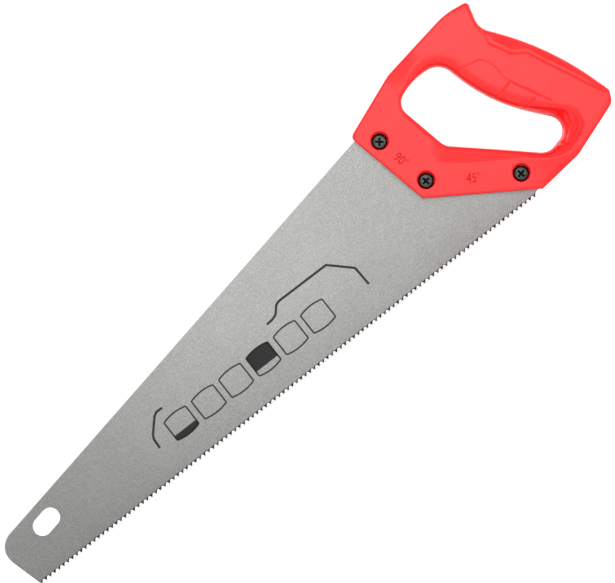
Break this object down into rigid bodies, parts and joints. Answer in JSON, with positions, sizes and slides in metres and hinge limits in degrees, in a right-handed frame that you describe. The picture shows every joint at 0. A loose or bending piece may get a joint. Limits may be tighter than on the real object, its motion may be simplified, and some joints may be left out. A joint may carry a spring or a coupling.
{
  "type": "hand saw",
  "caption": "Hand saw with a tapered toothed steel blade, a hanging slot in the toe and a closed moulded handle screwed round the heel of the blade.",
  "frame": {"origin": "centre of the base of the bounding box, on the line of the tooth tips", "axes": "+X along the tooth tips from the toe to the handle, +Y across the blade from the screw heads to the sleeve nuts, +Z from the teeth to the back"},
  "size_m": [0.4848, 0.028, 0.1266],
  "materials": {
    "blade_steel": "spring steel sheet, ground satin",
    "handle_plastic": "injection moulded, satin red",
    "fastener_steel": "black oxide on steel",
    "print_ink": "black ink, screen printed"
  },
  "bodies": {
    "root": {"blade": "blade_steel", "handle": "handle_plastic", "screw_upper": "fastener_steel", "screw_front": "fastener_steel", "screw_rear": "fastener_steel", "nut_upper": "fastener_steel", "nut_front": "fastener_steel", "nut_rear": "fastener_steel"}
  },
  "joints": []
}
